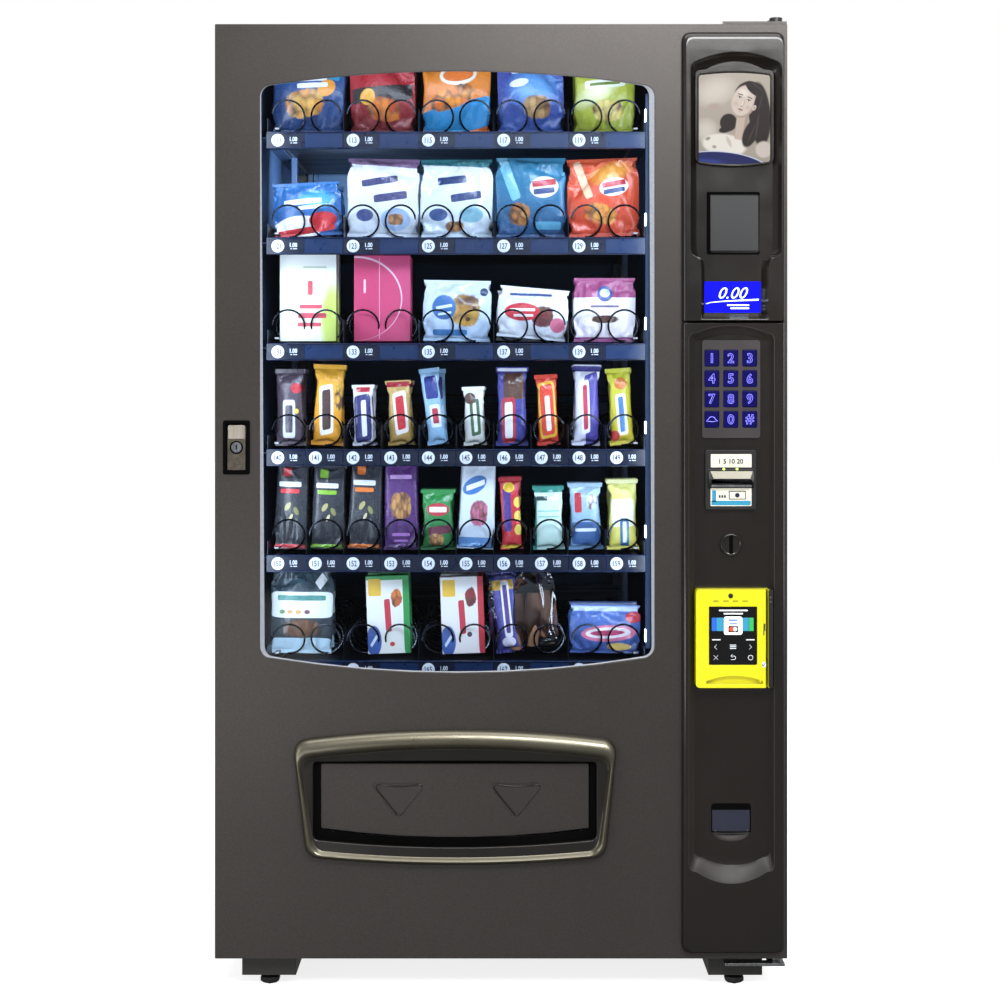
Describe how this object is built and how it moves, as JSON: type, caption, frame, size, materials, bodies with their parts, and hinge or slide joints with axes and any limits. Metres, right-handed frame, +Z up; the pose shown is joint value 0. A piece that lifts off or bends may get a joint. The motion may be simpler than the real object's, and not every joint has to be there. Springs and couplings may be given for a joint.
{
  "type": "snack vending machine",
  "caption": "Glass-front snack vending machine with coil trays, hinged door, delivery flap, keypad, bill, coin and card payment column.",
  "frame": {"origin": "on the floor under the middle of the machine's outer box", "axes": "+Z up, +X to the right of someone facing the machine, front towards -Y"},
  "size_m": [1.083, 0.914, 1.846],
  "materials": {
    "door_paint": "satin",
    "cabinet_paint": "satin",
    "liner_paint": "satin",
    "tray_metal": "satin",
    "rail_blue": "satin",
    "number_label": "matte",
    "coil_wire": "gloss",
    "steel": "satin",
    "zinc": "satin",
    "window_glass": "gloss",
    "gloss_column": "gloss",
    "picture_print": "gloss",
    "black_plastic": "satin",
    "display_blue": "gloss",
    "keypad_plate": "gloss",
    "key_cap": "satin",
    "reader_yellow": "satin",
    "grey_plastic": "satin",
    "light_strip": "matte",
    "snack_wrapper": "gloss",
    "channel_paint": "satin"
  },
  "bodies": {
    "cabinet": {"cabinet_wrap": "cabinet_paint", "cabinet_back": "cabinet_paint", "cabinet_floor": "cabinet_paint", "bay_liner": "liner_paint", "partition_wall": "liner_paint", "leg_channel_left": "channel_paint", "leg_channel_right": "channel_paint", "hinge_plate_top": "steel", "hinge_plate_bottom": "steel", "power_inlet": "black_plastic"},
    "door": {"door_panel": "door_paint", "window_glass": "window_glass", "window_retainer": "liner_paint", "delivery_bezel": "gloss_column", "delivery_bin": "liner_paint", "fascia_upper": "gloss_column", "fascia_lower": "gloss_column", "picture_panel": "picture_print", "blank_panel": "black_plastic", "display_module": "display_blue", "keypad_frame": "keypad_plate", "bill_acceptor": "grey_plastic", "coin_insert": "black_plastic", "coin_mechanism": "grey_plastic", "card_reader": "reader_yellow", "coin_return_cup": "zinc", "lock_cup": "black_plastic"},
    "flap": {"delivery_flap": "door_paint"},
    "coin_flap": {"coin_return_flap": "zinc"},
    "lock_handle": {"lock_handle": "zinc"},
    "lock_cylinder": {"lock_cylinder": "zinc"},
    "key_1": {"key_1": "key_cap"},
    "key_2": {"key_2": "key_cap"},
    "key_3": {"key_3": "key_cap"},
    "key_4": {"key_4": "key_cap"},
    "key_5": {"key_5": "key_cap"},
    "key_6": {"key_6": "key_cap"},
    "key_7": {"key_7": "key_cap"},
    "key_8": {"key_8": "key_cap"},
    "key_9": {"key_9": "key_cap"},
    "key_clear": {"key_clear": "key_cap"},
    "key_0": {"key_0": "key_cap"},
    "key_hash": {"key_hash": "key_cap"},
    "tray_1": {"tray_1": "tray_metal"},
    "coil_1": {"coil_1": "coil_wire"},
    "tray_2": {"tray_2": "tray_metal"},
    "coil_2": {"coil_2": "coil_wire"},
    "tray_3": {"tray_3": "tray_metal"},
    "coil_3": {"coil_3": "coil_wire"},
    "tray_4": {"tray_4": "tray_metal"},
    "coil_4": {"coil_4": "coil_wire"},
    "tray_5": {"tray_5": "tray_metal"},
    "coil_5": {"coil_5": "coil_wire"},
    "tray_6": {"tray_6": "tray_metal"},
    "coil_6": {"coil_6": "coil_wire"},
    "foot_front_left": {"levelling_foot_front_left": "steel"},
    "foot_rear_left": {"levelling_foot_rear_left": "steel"},
    "foot_front_right": {"levelling_foot_front_right": "steel"},
    "foot_rear_right": {"levelling_foot_rear_right": "steel"}
  },
  "joints": [
    {"name": "door_hinge", "type": "hinge", "parent": "cabinet", "child": "door", "pos_m": [0.525, -0.395, 0], "axis": [0, 0, 1], "range_deg": [0, 105]},
    {"name": "flap_hinge", "type": "hinge", "parent": "door", "child": "flap", "pos_m": [-0.0875, -0.418, 0.424], "axis": [1, 0, 0], "range_deg": [0, 75]},
    {"name": "coin_flap_hinge", "type": "hinge", "parent": "door", "child": "coin_flap", "pos_m": [0.4355, -0.4214, 0.3505], "axis": [1, 0, 0], "range_deg": [0, 60]},
    {"name": "lock_handle_pop", "type": "slide", "parent": "door", "child": "lock_handle", "axis": [0, -1, 0], "range_m": [0, 0.022]},
    {"name": "lock_turn", "type": "hinge", "parent": "lock_handle", "child": "lock_cylinder", "pos_m": [-0.5005, -0.43, 1.027], "axis": [0, 1, 0], "range_deg": [0, 90]},
    {"name": "key_1_press", "type": "slide", "parent": "door", "child": "key_1", "axis": [0, 1, 0], "range_m": [0, 0.0015], "stiffness_N_per_m": 300},
    {"name": "key_2_press", "type": "slide", "parent": "door", "child": "key_2", "axis": [0, 1, 0], "range_m": [0, 0.0015], "stiffness_N_per_m": 300},
    {"name": "key_3_press", "type": "slide", "parent": "door", "child": "key_3", "axis": [0, 1, 0], "range_m": [0, 0.0015], "stiffness_N_per_m": 300},
    {"name": "key_4_press", "type": "slide", "parent": "door", "child": "key_4", "axis": [0, 1, 0], "range_m": [0, 0.0015], "stiffness_N_per_m": 300},
    {"name": "key_5_press", "type": "slide", "parent": "door", "child": "key_5", "axis": [0, 1, 0], "range_m": [0, 0.0015], "stiffness_N_per_m": 300},
    {"name": "key_6_press", "type": "slide", "parent": "door", "child": "key_6", "axis": [0, 1, 0], "range_m": [0, 0.0015], "stiffness_N_per_m": 300},
    {"name": "key_7_press", "type": "slide", "parent": "door", "child": "key_7", "axis": [0, 1, 0], "range_m": [0, 0.0015], "stiffness_N_per_m": 300},
    {"name": "key_8_press", "type": "slide", "parent": "door", "child": "key_8", "axis": [0, 1, 0], "range_m": [0, 0.0015], "stiffness_N_per_m": 300},
    {"name": "key_9_press", "type": "slide", "parent": "door", "child": "key_9", "axis": [0, 1, 0], "range_m": [0, 0.0015], "stiffness_N_per_m": 300},
    {"name": "key_clear_press", "type": "slide", "parent": "door", "child": "key_clear", "axis": [0, 1, 0], "range_m": [0, 0.0015], "stiffness_N_per_m": 300},
    {"name": "key_0_press", "type": "slide", "parent": "door", "child": "key_0", "axis": [0, 1, 0], "range_m": [0, 0.0015], "stiffness_N_per_m": 300},
    {"name": "key_hash_press", "type": "slide", "parent": "door", "child": "key_hash", "axis": [0, 1, 0], "range_m": [0, 0.0015], "stiffness_N_per_m": 300},
    {"name": "tray_1_slide", "type": "slide", "parent": "cabinet", "child": "tray_1", "axis": [0, -1, 0], "range_m": [0, 0.1]},
    {"name": "coil_1_turn", "type": "hinge", "parent": "tray_1", "child": "coil_1", "pos_m": [-0.1262, 0, 1.683], "axis": [0, 1, 0], "continuous": true},
    {"name": "tray_2_slide", "type": "slide", "parent": "cabinet", "child": "tray_2", "axis": [0, -1, 0], "range_m": [0, 0.1]},
    {"name": "coil_2_turn", "type": "hinge", "parent": "tray_2", "child": "coil_2", "pos_m": [-0.1262, 0, 1.4744], "axis": [0, 1, 0], "continuous": true},
    {"name": "tray_3_slide", "type": "slide", "parent": "cabinet", "child": "tray_3", "axis": [0, -1, 0], "range_m": [0, 0.1]},
    {"name": "coil_3_turn", "type": "hinge", "parent": "tray_3", "child": "coil_3", "pos_m": [-0.1262, 0, 1.2658], "axis": [0, 1, 0], "continuous": true},
    {"name": "tray_4_slide", "type": "slide", "parent": "cabinet", "child": "tray_4", "axis": [0, -1, 0], "range_m": [0, 0.1]},
    {"name": "coil_4_turn", "type": "hinge", "parent": "tray_4", "child": "coil_4", "pos_m": [-0.052, 0, 1.0572], "axis": [0, 1, 0], "continuous": true},
    {"name": "tray_5_slide", "type": "slide", "parent": "cabinet", "child": "tray_5", "axis": [0, -1, 0], "range_m": [0, 0.1]},
    {"name": "coil_5_turn", "type": "hinge", "parent": "tray_5", "child": "coil_5", "pos_m": [-0.1262, 0, 0.8486], "axis": [0, 1, 0], "continuous": true},
    {"name": "tray_6_slide", "type": "slide", "parent": "cabinet", "child": "tray_6", "axis": [0, -1, 0], "range_m": [0, 0.1]},
    {"name": "coil_6_turn", "type": "hinge", "parent": "tray_6", "child": "coil_6", "pos_m": [-0.1262, 0, 0.64], "axis": [0, 1, 0], "continuous": true},
    {"name": "foot_front_left_turn", "type": "hinge", "parent": "cabinet", "child": "foot_front_left", "pos_m": [-0.443, -0.376, 0], "axis": [0, 0, 1], "continuous": true},
    {"name": "foot_rear_left_turn", "type": "hinge", "parent": "cabinet", "child": "foot_rear_left", "pos_m": [-0.443, 0.39, 0], "axis": [0, 0, 1], "continuous": true},
    {"name": "foot_front_right_turn", "type": "hinge", "parent": "cabinet", "child": "foot_front_right", "pos_m": [0.447, -0.376, 0], "axis": [0, 0, 1], "continuous": true},
    {"name": "foot_rear_right_turn", "type": "hinge", "parent": "cabinet", "child": "foot_rear_right", "pos_m": [0.447, 0.39, 0], "axis": [0, 0, 1], "continuous": true}
  ]
}
